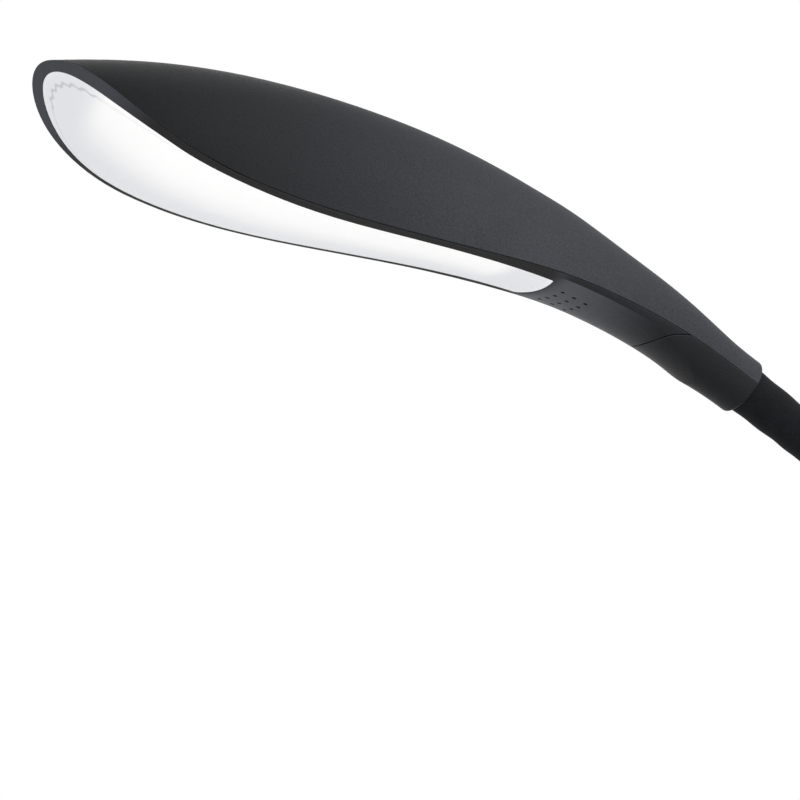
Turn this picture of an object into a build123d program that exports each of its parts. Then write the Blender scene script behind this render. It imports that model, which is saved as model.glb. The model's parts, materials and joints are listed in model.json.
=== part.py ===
from build123d import *
from math import cos, degrees, radians, sin, tan
import os

# Piano lamp: a weighted oval base, a rubber-sleeved gooseneck and an arched head
# with an opal diffuser let into its underside. Millimetres, +Z up. The origin is
# the middle of the base's underside, and the head reaches out towards -X.

os.makedirs("parts", exist_ok=True)

# Base
base_length = 190.0
base_width = 140.0
base_height = 24.0
base_wall = 2.4
base_edge_radius = 9.0
base_end_flat = 8.0
pad_thickness = 1.5
pad_inset = 4.0
pad_edge = 0.5
bottom_thickness = 3.0
electronics_room = 9.1
weight_clearance = 1.2
board_thickness = 1.6
spacer_height = 2.0
neck_offset = 56.0
button_offset = -52.0
button_diameter = 16.0
button_clearance = 0.3
button_travel = 0.8
inlet_bore = 5.6
inlet_pin = 2.1
inlet_height = 10.5
inlet_length = 14.0
inlet_width = 9.0
inlet_recess = 2.6
inlet_opening = 8.0
inlet_depth = 9.5
button_stand = 0.8
button_seat_gap = 0.1
button_edge = 0.6
button_flange_width = 1.6
button_flange_thickness = 1.0
plunger_diameter = 3.4
plunger_depth = 1.2
switch_height = 3.6
switch_width = 6.2
switch_board_length = 24.0
switch_board_width = 14.0
screw_inset = (57.0, 42.0)
bottom_clearance = 0.3
post_diameter = 7.0
base_screw_diameter = 3.0
base_head_diameter = 5.4
base_head_height = 1.8
base_screw_length = 12.0
board_offset = 0.0
board_length = 52.0
board_width = 40.0
spacer_diameter = 5.0
spacer_bore = 2.4
spacer_inset = 4.0
socket_edge = 0.8
lead_slot_width = 4.4
lead_slot_height = 6.0
base_lead_radius = 5.0
driver_connector = (20.0, 0.0, 7.0, 8.0, 5.0)
driver_sizes = [driver_connector, (-4.0, 8.0, 6.0, 5.0, 1.6), (-18.0, -8.0, 6.0, 8.0, 4.0)]
driver_cans = [(6.0, -8.0, 8.0, 4.5), (-8.0, -9.0, 6.3, 5.0), (8.0, 10.0, 6.3, 5.0)]

# Gooseneck
neck_length = 370.0
neck_bend = 58.0
sleeve_diameter = 13.0
core_diameter = 9.0
lead_diameter = 3.2
core_bore = 4.2
joint_count = 8
root_straight = 5.0
collar_straight = 14.0
joint_swing = 20.0
joint_gap = 0.3
bevel_clearance = 0.5
sleeve_clearance = 0.1
root_depth = 10.0
sleeve_depth = 10.0
socket_wall = 2.8
socket_height = 12.0
socket_flange_width = 8.5
socket_flange_thickness = 4.0
neck_fit = 0.2

# Head
collar_setback = 1.9
collar_edge_radius = 1.0
head_wall = 1.8
seam_gap = 0.25
lap_clearance = 0.15
lap_thickness = 0.8
lap_height = 2.0
lap_root = 1.5
tongue_start = 26.0
lip_width = 3.6
floor_thickness = 1.8
diffuser_clearance = 0.15
flange_width = 1.8
flange_thickness = 1.2
opening_rear = 68.6
opening_nose = 215.0
opening_bow = 1.0
opening_corner = 1.4
smallest_corner = 0.5
nose_centre = 190.0
cover_radius = 15.3
cover_centre = (28.0, -1.8)
vent_diameter = 1.2
vent_rows = 3
vents_per_row = 4
vent_start = 64.3
vent_row_pitch = 3.8
vent_floor = 15.0
vent_ceiling = 35.0
cover_gap = 0.3
seat_clearance = 0.1
diffuser_recess = 0.15
tray_wall = 1.0
tray_clearance = 0.3
screw_bite = 4.0
past_head = 110.0
vent_spacing = 4.4
vent_narrowing = 0.25
guide_gap = 0.25
guide_thickness = 2.0
guide_setback = 2.6
notch_count = 13
notch_width = 1.8
notch_depth = 1.6
notch_arc = 150.0
ferrule_length = 26.0
ferrule_clearance = 0.45
ferrule_wall = 1.7
tab_length = 16.0
tab_width = 8.0
tab_thickness = 3.0
tab_height = 2.5
tab_screw_insets = (4.0, 12.0)
led_board_rear = 82.0
led_board_length = 86.0
led_board_rear_width = 21.0
led_board_front_width = 34.0
led_board_rear_height = 36.6
led_board_pitch = 8.3
led_board_thickness = 1.6
led_size = 2.8
led_height = 0.7
led_rows = 2
leds_per_row = 9
led_pitch = 8.2
led_row_half_gap = 6.5
led_shift = 1.0
spreader_setback = 15.0
spreader_thickness = 1.5
fin_height = 6.0
fin_thickness = 1.5
fin_inset = 13.0
connector_length = 6.0
connector_width = 5.0
connector_height = 3.6
connector_inset = 2.0
lead_slack = 22.0
boss_diameter = 6.0
board_screw_places = ((22.0, 7.0), (76.0, 12.0))
small_screw_diameter = 2.2
small_head_diameter = 4.2
small_head_height = 1.6
status_reach = 88.6
status_pipe_diameter = 1.2
status_board_height = 50.0
status_board_length = 14.0
status_board_width = 8.0
status_board_thickness = 1.0
status_screw_pitch = 10.0
status_boss_diameter = 5.2
lead_bend_radius = 18.0

# Worked out from the sizes above
bend_length = neck_length - root_straight - collar_straight
neck_radius = bend_length / radians(neck_bend)
collar_pitch = 90.0 - neck_bend
sleeve_radius = sleeve_diameter / 2
core_radius = core_diameter / 2
collar_radius = sleeve_radius + neck_fit + head_wall
socket_radius = sleeve_radius + neck_fit + socket_wall
bottom_top = pad_thickness + bottom_thickness
ceiling = base_height - base_wall
weight_top = ceiling - electronics_room
weight_thickness = weight_top - bottom_top
neck_start = base_height + socket_height
bend_centre_x = neck_offset - neck_radius
bend_start_z = neck_start + root_straight
bend_end_x = bend_centre_x + neck_radius * cos(radians(neck_bend))
bend_end_z = bend_start_z + neck_radius * sin(radians(neck_bend))
collar_x = bend_end_x - collar_straight * cos(radians(collar_pitch))
collar_z = bend_end_z + collar_straight * sin(radians(collar_pitch))
joint_spacing = bend_length / (joint_count - 1)
joint_turn = degrees(joint_spacing / neck_radius)
bevel_angle = (joint_swing + joint_turn) / 2 + bevel_clearance


# ---------------------------------------------------------------- head outline

# The moulded head, station by station from the collar to past the nose: reach in
# front of the collar, height of the ridge and of the widest line over the collar's
# centre, half width there, and depth of the body below that line.
def collar_station(reach, rise=0.0, swell=0.0):
    axis_height = reach * tan(radians(collar_pitch))
    half_height = collar_radius / cos(radians(collar_pitch))
    ridge = axis_height + half_height + rise
    return reach, ridge, axis_height, collar_radius + swell, half_height + swell


head_stations = [
    collar_station(-8.0),
    collar_station(-1.5),
    collar_station(5.0),
    collar_station(16.0, rise=1.1, swell=0.7),
    (33.0, 32.3, 16.9, 11.3, 10.4),
    (50.0, 42.2, 22.6, 13.3, 9.6),
    (68.0, 51.6, 26.9, 15.1, 8.6),
    (90.0, 60.9, 30.4, 17.1, 7.5),
    (115.0, 68.6, 33.8, 20.0, 7.0),
    (140.0, 73.8, 37.0, 23.4, 6.5),
    (165.0, 76.8, 41.6, 27.4, 6.5),
    (190.0, 77.2, 49.5, 29.4, 8.0),
    (226.0, 74.0, 46.0, 25.5, 8.0),
]

# The underside that the body is cut to: reach, height in the middle, half span and
# how far the surface rises from the middle to the end of that span.
under_stations = [
    (10.0, -7.0, 12.5, 8.0),
    (24.0, 4.2, 13.0, 8.0),
    (36.0, 11.0, 14.5, 7.0),
    (48.0, 16.6, 16.0, 5.0),
    (60.0, 21.5, 17.5, 3.2),
    (74.0, 25.7, 19.0, 1.8),
    (100.0, 30.2, 22.0, 1.8),
    (130.0, 33.7, 27.0, 2.4),
    (155.0, 37.2, 31.0, 3.2),
    (175.0, 42.2, 34.0, 3.8),
    (190.0, 48.2, 34.0, 4.2),
    (204.0, 58.9, 34.0, 4.0),
    (214.0, 70.9, 34.0, 3.6),
    (230.0, 96.0, 34.0, 3.2),
]

# The parting line between the two shells, seen from the side: reach and height.
seam_points = [
    (-12.0, -12.0 * tan(radians(collar_pitch))),
    (4.0, 4.0 * tan(radians(collar_pitch))),
    (16.0, 9.3),
    (33.0, 16.8),
    (50.0, 22.6),
    (68.0, 27.3),
    (90.0, 30.8),
    (115.0, 33.9),
    (140.0, 37.3),
    (160.0, 41.0),
    (175.0, 45.1),
    (190.0, 51.7),
    (204.0, 61.8),
    (214.0, 72.9),
    (230.0, 97.0),
]

head_side = Plane(origin=(collar_x, 0, collar_z), x_dir=(-1, 0, 0), z_dir=(0, 1, 0))
head_plan = Plane(origin=(collar_x, 0, collar_z), x_dir=(-1, 0, 0), z_dir=(0, 0, 1))
neck_way = (cos(radians(collar_pitch)), 0, -sin(radians(collar_pitch)))
collar_end = Plane(origin=(collar_x, 0, collar_z), x_dir=(0, 1, 0), z_dir=neck_way).offset(-collar_setback)


def head_section(reach):
    origin = (collar_x - reach, 0, collar_z)
    return Plane(origin=origin, x_dir=(0, -1, 0), z_dir=(-1, 0, 0))


def head_body(inset):
    """The head's rounded body before its underside is cut, shrunk by an inset."""
    with BuildPart() as body:
        for reach, ridge, widest, half_width, belly in head_stations:
            slope = collar_pitch * max(0.0, 1 - max(reach, 0.0) / nose_centre)
            drop = inset / cos(radians(slope))
            with BuildSketch(head_section(reach)):
                with BuildLine():
                    EllipticalCenterArc(
                        (0, widest), half_width - inset, ridge - widest - drop, 0, arc_size=180
                    )
                    EllipticalCenterArc(
                        (0, widest), half_width - inset, belly - drop, 180, arc_size=180
                    )
                make_face()
        loft()
        split(bisect_by=collar_end, keep=Keep.BOTTOM)
    return body.part


def under_space(lift):
    """All that lies below the head's underside, with that surface lifted."""
    with BuildPart() as space:
        for reach, middle, span, rise in under_stations:
            end = middle + rise + lift
            with BuildSketch(head_section(reach)):
                with BuildLine():
                    ThreePointArc((-span, end), (0, middle + lift), (span, end))
                    Polyline((span, end), (span, -past_head), (-span, -past_head), (-span, end))
                make_face()
        loft()
    return space.part


def seam_space(lift):
    """All that lies above the parting line, with that line lifted."""
    with BuildPart() as space:
        with BuildSketch(head_side):
            with BuildLine():
                line = Spline(*[(reach, height + lift) for reach, height in seam_points])
                first, last = seam_points[0][0], seam_points[-1][0]
                Polyline(line @ 1, (last, past_head), (first, past_head), line @ 0)
            make_face()
        extrude(amount=past_head, both=True)
    return space.part


def collar_point(along, above=0.0):
    """Reach and height of a point along and above the collar's axis."""
    pitch = radians(collar_pitch)
    return along * cos(pitch) - above * sin(pitch), along * sin(pitch) + above * cos(pitch)


def collar_section(along):
    """The plane across the collar's axis, its normal pointing into the head."""
    reach, height = collar_point(along)
    origin = (collar_x - reach, 0, collar_z + height)
    into_head = (-neck_way[0], 0, -neck_way[2])
    return Plane(origin=origin, x_dir=(0, -1, 0), z_dir=into_head)


def half_width_at(reach):
    """Half width of the head between two stations."""
    for before, after in zip(head_stations, head_stations[1:]):
        if before[0] <= reach <= after[0]:
            share = (reach - before[0]) / (after[0] - before[0])
            return before[3] + share * (after[3] - before[3])
    return head_stations[-1][3]


def opening_prism(margin):
    """The diffuser's opening as an upright prism, widened by a margin."""
    stations = [reach for reach, *sizes in head_stations]
    reaches = [opening_rear] + [reach for reach in stations if opening_rear < reach < nose_centre]
    side = [(reach, half_width_at(reach) - lip_width + margin) for reach in reaches]
    nose_width = half_width_at(nose_centre) - lip_width + margin
    side.append((nose_centre, nose_width))
    side[0] = (opening_rear + opening_bow - margin, side[0][1])
    nose_length = opening_nose - nose_centre + margin
    with BuildPart() as prism:
        with BuildSketch(head_plan):
            with BuildLine():
                edge = Spline(*side)
                EllipticalCenterArc((nose_centre, 0), nose_length, nose_width, -90, arc_size=180)
                mirror(edge, about=Plane.XZ)
                ThreePointArc(side[0], (opening_rear - margin, 0), (side[0][0], -side[0][1]))
            make_face()
            fillet(vertices().sort_by(Axis.X)[:2], max(opening_corner + margin, smallest_corner))
        extrude(amount=past_head)
    return prism.part


def cover_prism(margin):
    """The neck clamp cover's outline from the side: flat on top with a round front."""
    radius = cover_radius + margin
    reach, height = cover_centre
    with BuildPart() as prism:
        with BuildSketch(head_side):
            with Locations(cover_centre):
                Circle(radius)
            with Locations((reach - past_head / 2, height + radius - past_head / 2)):
                Rectangle(past_head, past_head)
        extrude(amount=past_head, both=True)
    return prism.part


with BuildPart() as rounded_body:
    add(head_body(0))
    fillet(rounded_body.faces().sort_by(Axis.X)[-1].edges(), collar_edge_radius)

shell_outside = rounded_body.part
shell_inside = head_body(head_wall)
lap_outside = head_body(head_wall + lap_clearance)
lap_inside = head_body(head_wall + lap_clearance + lap_thickness)
below_under = under_space(0)
below_floor = under_space(floor_thickness)
above_seam = seam_space(0)


# ------------------------------------------------------------------ head shells

with BuildPart() as head_top_shell:
    add(shell_outside)
    add(shell_inside, mode=Mode.SUBTRACT)
    add(above_seam, mode=Mode.INTERSECT)
    add(below_under, mode=Mode.SUBTRACT)

# Both lower shells in one: the outer skin below the seam, the floor that carries
# the diffuser and the tongue that laps up inside the top shell's wall.
lap_foot = seam_gap + lap_root
tongue_end = Plane(origin=(collar_x - tongue_start, 0, collar_z), x_dir=(0, 1, 0), z_dir=(1, 0, 0))
with BuildPart() as tongue_foot:
    add(shell_inside)
    add(lap_inside, mode=Mode.SUBTRACT)
    add(seam_space(-seam_gap), mode=Mode.SUBTRACT)
    add(seam_space(-lap_foot), mode=Mode.INTERSECT)
    add(below_under, mode=Mode.SUBTRACT)
    split(bisect_by=tongue_end, keep=Keep.BOTTOM)

with BuildPart() as tongue:
    add(lap_outside)
    add(lap_inside, mode=Mode.SUBTRACT)
    add(seam_space(lap_height), mode=Mode.SUBTRACT)
    add(seam_space(-lap_foot), mode=Mode.INTERSECT)
    add(below_under, mode=Mode.SUBTRACT)
    split(bisect_by=tongue_end, keep=Keep.BOTTOM)

with BuildPart() as floor:
    add(lap_outside)
    add(below_floor, mode=Mode.INTERSECT)
    add(below_under, mode=Mode.SUBTRACT)

with BuildPart() as lower_shells:
    add(shell_outside)
    add(seam_space(-seam_gap), mode=Mode.SUBTRACT)
    add(below_under, mode=Mode.SUBTRACT)
    add(shell_inside - below_floor, mode=Mode.SUBTRACT)
    add(floor.part)
    add(tongue_foot.part)
    add(tongue.part)


def vent_places():
    """Reach and sideways place of each vent, in rows behind the diffuser."""
    for row in range(vent_rows):
        reach = vent_start - row * vent_row_pitch
        spacing = vent_spacing - row * vent_narrowing
        for column in range(vents_per_row):
            yield reach, (column - (vents_per_row - 1) / 2) * spacing


with BuildPart() as head_lower_frame:
    add(lower_shells.part)
    add(opening_prism(0), mode=Mode.SUBTRACT)
    add(cover_prism(cover_gap / 2), mode=Mode.SUBTRACT)
    with BuildSketch(head_plan.offset(vent_floor)):
        with Locations(*vent_places()):
            Circle(vent_diameter / 2)
    extrude(amount=vent_ceiling - vent_floor, mode=Mode.SUBTRACT)

with BuildPart() as neck_clamp_cover:
    add(lower_shells.part)
    add(cover_prism(-cover_gap / 2), mode=Mode.INTERSECT)


# ------------------------------------------------------------- light and optics

optics_room = head_body(head_wall + lap_clearance + lap_thickness + guide_gap)
guide_bottom = floor_thickness + seat_clearance + flange_thickness + guide_gap
guide_top = guide_bottom + guide_thickness

with BuildPart() as diffuser:
    add(opening_prism(-diffuser_clearance))
    add(under_space(floor_thickness + seat_clearance + flange_thickness), mode=Mode.INTERSECT)
    add(under_space(diffuser_recess), mode=Mode.SUBTRACT)
    add(lap_outside, mode=Mode.INTERSECT)

with BuildPart() as diffuser_flange:
    add(opening_prism(flange_width))
    add(under_space(floor_thickness + seat_clearance + flange_thickness), mode=Mode.INTERSECT)
    add(under_space(floor_thickness + seat_clearance), mode=Mode.SUBTRACT)
    add(optics_room, mode=Mode.INTERSECT)

with diffuser:
    add(diffuser_flange.part)

with BuildPart() as light_guide:
    add(opening_prism(-guide_setback))
    add(under_space(guide_top), mode=Mode.INTERSECT)
    add(under_space(guide_bottom), mode=Mode.SUBTRACT)
    add(optics_room, mode=Mode.INTERSECT)
    with BuildSketch(head_plan):
        with Locations((nose_centre, 0)):
            ring = opening_nose - nose_centre - guide_setback
            with PolarLocations(ring, notch_count, -notch_arc / 2, notch_arc):
                Rectangle(2 * notch_depth, notch_width)
    extrude(amount=past_head, both=True, mode=Mode.SUBTRACT)

led_board_origin = (collar_x - led_board_rear, 0, collar_z + led_board_rear_height)
led_board_tilt = radians(led_board_pitch)
led_board_plane = Plane(
    origin=led_board_origin,
    x_dir=(-cos(led_board_tilt), 0, sin(led_board_tilt)),
    z_dir=(sin(led_board_tilt), 0, cos(led_board_tilt)),
)


def board_outline(start, end, margin):
    """Corners of the tapered LED board between two places along it."""
    def half(along):
        share = along / led_board_length
        return (led_board_rear_width + share * (led_board_front_width - led_board_rear_width)) / 2
    return [
        (start, -half(start) - margin),
        (end, -half(end) - margin),
        (end, half(end) + margin),
        (start, half(start) + margin),
    ]


screw_places = [(along, across * side) for side in (-1, 1) for along, across in board_screw_places]

with BuildPart() as led_board:
    with BuildSketch(led_board_plane):
        with BuildLine():
            Polyline(*board_outline(0, led_board_length, 0), close=True)
        make_face()
        with Locations(*screw_places):
            Circle(small_screw_diameter / 2 + seat_clearance, mode=Mode.SUBTRACT)
    extrude(amount=led_board_thickness)

with BuildPart() as leds:
    with BuildSketch(led_board_plane):
        with Locations((led_board_length / 2 - led_shift, 0)):
            with GridLocations(led_pitch, 2 * led_row_half_gap, leds_per_row, led_rows):
                Rectangle(led_size, led_size)
    extrude(amount=-led_height)

spreader_plane = led_board_plane.offset(led_board_thickness)
with BuildPart() as heat_spreader:
    with BuildSketch(spreader_plane):
        with BuildLine():
            Polyline(*board_outline(spreader_setback, led_board_length, 0), close=True)
        make_face()
        with Locations(*screw_places):
            Circle(small_screw_diameter / 2 + seat_clearance, mode=Mode.SUBTRACT)
    extrude(amount=spreader_thickness)
    with BuildSketch(spreader_plane.offset(spreader_thickness)):
        with Locations((led_board_length / 2 + spreader_setback / 2, 0)):
            with GridLocations(1, led_board_rear_width / 4, 1, 3):
                Rectangle(led_board_length - spreader_setback - 2 * fin_inset, fin_thickness)
    extrude(amount=fin_height)

connector_along = connector_inset + connector_length / 2
with BuildPart() as lead_connector:
    with BuildSketch(spreader_plane):
        with Locations((connector_along, 0)):
            Rectangle(connector_length, connector_width)
    extrude(amount=connector_height)

with BuildPart() as board_screws:
    with BuildSketch(led_board_plane):
        with Locations(*screw_places):
            Circle(small_head_diameter / 2)
    extrude(amount=-small_head_height)
    with BuildSketch(led_board_plane):
        with Locations(*screw_places):
            Circle(small_screw_diameter / 2)
    extrude(amount=led_board_thickness + spreader_thickness + screw_bite)

# White box between the LEDs and the guide, closed above by the board.
tray_top = led_board_plane.offset(-small_head_height - tray_clearance)
with BuildPart() as below_tray_top:
    with BuildSketch(tray_top):
        Rectangle(4 * past_head, 2 * past_head)
    extrude(amount=-past_head)

with BuildPart() as below_tray_ceiling:
    with BuildSketch(tray_top.offset(-tray_wall)):
        Rectangle(4 * past_head, 2 * past_head)
    extrude(amount=-past_head)

with BuildPart() as reflector_tray:
    add(opening_prism(0))
    add(below_tray_top.part, mode=Mode.INTERSECT)
    add(under_space(guide_top + seat_clearance), mode=Mode.SUBTRACT)
    add(opening_prism(-tray_wall) & below_tray_ceiling.part, mode=Mode.SUBTRACT)
    with BuildSketch(tray_top):
        with Locations((led_board_length / 2 - led_shift, 0)):
            with GridLocations(led_pitch, 2 * led_row_half_gap, leds_per_row, led_rows):
                Rectangle(2 * led_size, 2 * led_size)
    extrude(amount=-2 * tray_wall, mode=Mode.SUBTRACT)


# ---------------------------------------------------------- neck end and wiring

ferrule_bore = core_diameter / 2 + neck_fit
ferrule_outer = collar_radius - head_wall - ferrule_clearance
ferrule_start = sleeve_depth + seat_clearance
ferrule_floor = ferrule_length - ferrule_wall

with BuildPart() as neck_ferrule:
    with BuildSketch(collar_section(ferrule_start)):
        Circle(ferrule_outer)
        Circle(ferrule_bore, mode=Mode.SUBTRACT)
    extrude(amount=ferrule_length - ferrule_start)
    with BuildSketch(collar_section(ferrule_length)):
        Circle(ferrule_outer)
        Circle(lead_diameter / 2 + neck_fit, mode=Mode.SUBTRACT)
    extrude(amount=-ferrule_wall)
    with BuildSketch(collar_section(ferrule_length)):
        with Locations((0, tab_height + tab_thickness / 2)):
            Rectangle(tab_width, tab_thickness)
    extrude(amount=tab_length)

tab_screw_places = [ferrule_length + inset for inset in tab_screw_insets]


def tab_screw_plane(along):
    """The tab's underside at a screw, its normal pointing up out of the tab."""
    reach, height = collar_point(along, tab_height)
    origin = (collar_x - reach, 0, collar_z + height)
    pitch = radians(collar_pitch)
    return Plane(origin=origin, x_dir=(0, 1, 0), z_dir=(sin(pitch), 0, cos(pitch)))


with neck_ferrule:
    for along in tab_screw_places:
        with BuildSketch(tab_screw_plane(along)):
            Circle(small_head_diameter / 2 + seat_clearance)
        extrude(amount=small_head_height, mode=Mode.SUBTRACT)
        with BuildSketch(tab_screw_plane(along)):
            Circle(small_screw_diameter / 2 + seat_clearance)
        extrude(amount=tab_thickness, mode=Mode.SUBTRACT)

tab_screw_length = tab_thickness + head_wall
with BuildPart() as ferrule_screws:
    for along in tab_screw_places:
        with BuildSketch(tab_screw_plane(along)):
            Circle(small_head_diameter / 2)
        extrude(amount=small_head_height)
        with BuildSketch(tab_screw_plane(along)):
            Circle(small_screw_diameter / 2)
        extrude(amount=tab_screw_length)

status_x = collar_x - status_reach
status_plane = Plane(origin=(status_x, 0, collar_z + status_board_height))
with BuildPart() as status_board:
    with BuildSketch(status_plane):
        Rectangle(status_board_width, status_board_length)
        with GridLocations(1, status_screw_pitch, 1, 2):
            Circle(small_screw_diameter / 2 + seat_clearance, mode=Mode.SUBTRACT)
    extrude(amount=-status_board_thickness)

with BuildPart() as status_light_pipe:
    with BuildSketch(status_plane.offset(seat_clearance)):
        Circle(status_pipe_diameter)
    extrude(amount=status_pipe_diameter)
    with BuildSketch(status_plane.offset(seat_clearance)):
        Circle(status_pipe_diameter / 2)
    extrude(amount=past_head)
    add(shell_outside, mode=Mode.INTERSECT)

with BuildPart() as status_screws:
    with BuildSketch(status_plane.offset(-status_board_thickness)):
        with GridLocations(1, status_screw_pitch, 1, 2):
            Circle(small_head_diameter / 2)
    extrude(amount=-small_head_height)
    with BuildSketch(status_plane.offset(-status_board_thickness)):
        with GridLocations(1, status_screw_pitch, 1, 2):
            Circle(small_screw_diameter / 2)
    extrude(amount=status_board_thickness + screw_bite)

# Pads and screw bosses under the top shell, each grown up into its inner wall.
with BuildPart() as shell_bosses:
    with BuildSketch(collar_section(ferrule_length)):
        with Locations((0, tab_height + tab_thickness + collar_radius / 2)):
            Rectangle(tab_width, collar_radius)
    extrude(amount=tab_length)
    with BuildSketch(spreader_plane.offset(spreader_thickness)):
        with Locations(*screw_places):
            Circle(boss_diameter / 2)
    extrude(amount=past_head)
    with BuildSketch(status_plane):
        with GridLocations(1, status_screw_pitch, 1, 2):
            Circle(status_boss_diameter / 2)
    extrude(amount=past_head)
    add(head_body(head_wall / 2), mode=Mode.INTERSECT)

with head_top_shell:
    add(shell_bosses.part)
    add(ferrule_screws.part, mode=Mode.SUBTRACT)
    add(board_screws.part, mode=Mode.SUBTRACT)
    add(status_screws.part, mode=Mode.SUBTRACT)
    with BuildSketch(status_plane.offset(seat_clearance + status_pipe_diameter + seat_clearance)):
        Circle(status_pipe_diameter / 2 + seat_clearance / 2)
    extrude(amount=past_head, mode=Mode.SUBTRACT)


def lead_points():
    """The head's lead from the ferrule to the connector, seen from the side."""
    tilt = radians(led_board_pitch)
    along, above = connector_inset, led_board_thickness + connector_height / 2
    end_reach = led_board_rear + along * cos(tilt) - above * sin(tilt)
    end_height = led_board_rear_height + along * sin(tilt) + above * cos(tilt)
    return [
        collar_point(ferrule_floor),
        collar_point(ferrule_length + lead_slack),
        (end_reach - lead_slack * cos(tilt), end_height - lead_slack * sin(tilt)),
        (end_reach, end_height),
    ]


with BuildPart() as head_lead:
    with BuildLine(head_side):
        route = FilletPolyline(*lead_points(), radius=lead_bend_radius)
    with BuildSketch(Plane(origin=route @ 0, z_dir=route % 0)):
        Circle(lead_diameter / 2)
    sweep()


# -------------------------------------------------------------------- gooseneck

def neck_point(along):
    """A point of the neck's middle line, straight at both ends and bent between."""
    if along < root_straight:
        return Vector(neck_offset, 0, neck_start + along)
    if along > root_straight + bend_length:
        reach, height = collar_point(along - neck_length)
        return Vector(collar_x - reach, 0, collar_z + height)
    turn = (along - root_straight) / neck_radius
    x = bend_centre_x + neck_radius * cos(turn)
    z = bend_start_z + neck_radius * sin(turn)
    return Vector(x, 0, z)


neck_joints = [root_straight + k * joint_spacing for k in range(joint_count)]


def neck_stretch(index, outer, inner, depth):
    """One stretch between two joints, its ends coned so that it can swing there."""
    places = [-root_depth] + neck_joints + [neck_length + depth]
    start, end = neck_point(places[index]), neck_point(places[index + 1])
    way = end - start

    def first(radius):
        return 0 if index == 0 else joint_gap / 2 + radius * tan(radians(bevel_angle))

    def last(radius):
        cut = 0 if index == joint_count else joint_gap / 2 + radius * tan(radians(bevel_angle))
        return way.length - cut

    profile = Plane(origin=start, x_dir=(0, 1, 0), z_dir=Vector(0, 1, 0).cross(way))
    with BuildPart() as stretch:
        with BuildSketch(profile):
            with BuildLine():
                Polyline(
                    (inner, first(inner)),
                    (outer, first(outer)),
                    (outer, last(outer)),
                    (inner, last(inner)),
                    close=True,
                )
            make_face()
        revolve(axis=Axis(start, way))
    return stretch.part


sleeves, cores, leads = [], [], []
for index in range(joint_count + 1):
    sleeves.append(neck_stretch(index, sleeve_radius, core_radius + sleeve_clearance, sleeve_depth))
    cores.append(neck_stretch(index, core_radius, core_bore / 2, ferrule_floor - seat_clearance))
    leads.append(neck_stretch(index, lead_diameter / 2, 0, ferrule_floor))


# ------------------------------------------------------------------------- base

def base_outline(margin):
    """The base's oval outline, widened by a margin."""
    corner = (base_width - base_end_flat) / 2 + margin
    return RectangleRounded(base_length + 2 * margin, base_width + 2 * margin, corner)


def base_solid(bottom, top, margin, radius):
    """The base's oval body between two heights, its upper edge rounded."""
    with BuildPart() as body:
        with BuildSketch(Plane.XY.offset(bottom)):
            base_outline(margin)
        extrude(amount=top - bottom)
        if radius:
            fillet(body.edges().group_by(Axis.Z)[-1], radius)
    return body.part


inlet_face = base_length / 2 - inlet_recess
inlet_plane = Plane(origin=(inlet_face, 0, inlet_height), x_dir=(0, 1, 0), z_dir=(1, 0, 0))
neck_place = (neck_offset, 0)
button_place = (button_offset, 0)
board_bottom = weight_top + spacer_height
switch_board_top = board_bottom + board_thickness
switch_top = switch_board_top + switch_height
board_middle = (board_offset, 0)
corner_spread = (board_length - 2 * spacer_inset, board_width - 2 * spacer_inset)
base_screw_spread = (base_length - 2 * screw_inset[0], base_width - 2 * screw_inset[1])
socket_screw_ring = socket_radius + socket_flange_width / 2

with BuildPart() as base_cover:
    add(base_solid(pad_thickness, base_height, 0, base_edge_radius))
    add(
        base_solid(pad_thickness, ceiling, -base_wall, base_edge_radius - base_wall),
        mode=Mode.SUBTRACT,
    )
    with BuildSketch(Plane.XY.offset(base_height)):
        with Locations(neck_place):
            Circle(socket_radius + neck_fit)
        with Locations(button_place):
            Circle(button_diameter / 2 + button_clearance)
    extrude(amount=-2 * base_wall, mode=Mode.SUBTRACT)
    with BuildSketch(inlet_plane):
        Circle(inlet_opening / 2)
    extrude(amount=2 * inlet_recess, both=True, mode=Mode.SUBTRACT)
    # Screw posts for the bottom plate, grown up into the cover's ceiling.
    with BuildSketch(Plane.XY.offset(bottom_top + seat_clearance)):
        with GridLocations(*base_screw_spread, 2, 2):
            Circle(post_diameter / 2)
    extrude(amount=ceiling - bottom_top)

with BuildPart() as base_screws:
    with BuildSketch(Plane.XY.offset(pad_thickness)):
        with GridLocations(*base_screw_spread, 2, 2):
            Circle(base_head_diameter / 2)
    extrude(amount=base_head_height)
    with BuildSketch(Plane.XY.offset(pad_thickness)):
        with GridLocations(*base_screw_spread, 2, 2):
            Circle(base_screw_diameter / 2)
    extrude(amount=base_screw_length)

with base_cover:
    add(base_screws.part, mode=Mode.SUBTRACT)

with BuildPart() as base_bottom:
    with BuildSketch(Plane.XY.offset(pad_thickness)):
        base_outline(-base_wall - bottom_clearance)
        with GridLocations(*base_screw_spread, 2, 2):
            Circle(base_screw_diameter / 2 + seat_clearance, mode=Mode.SUBTRACT)
    extrude(amount=bottom_thickness)
    with BuildSketch(Plane.XY.offset(pad_thickness)):
        with GridLocations(*base_screw_spread, 2, 2):
            Circle(base_head_diameter / 2 + seat_clearance)
    extrude(amount=base_head_height, mode=Mode.SUBTRACT)

with BuildPart() as rubber_pad:
    with BuildSketch(Plane.XY):
        base_outline(-base_wall - bottom_clearance - pad_inset)
    extrude(amount=pad_thickness)
    chamfer(rubber_pad.edges().group_by(Axis.Z)[0], pad_edge)

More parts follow.
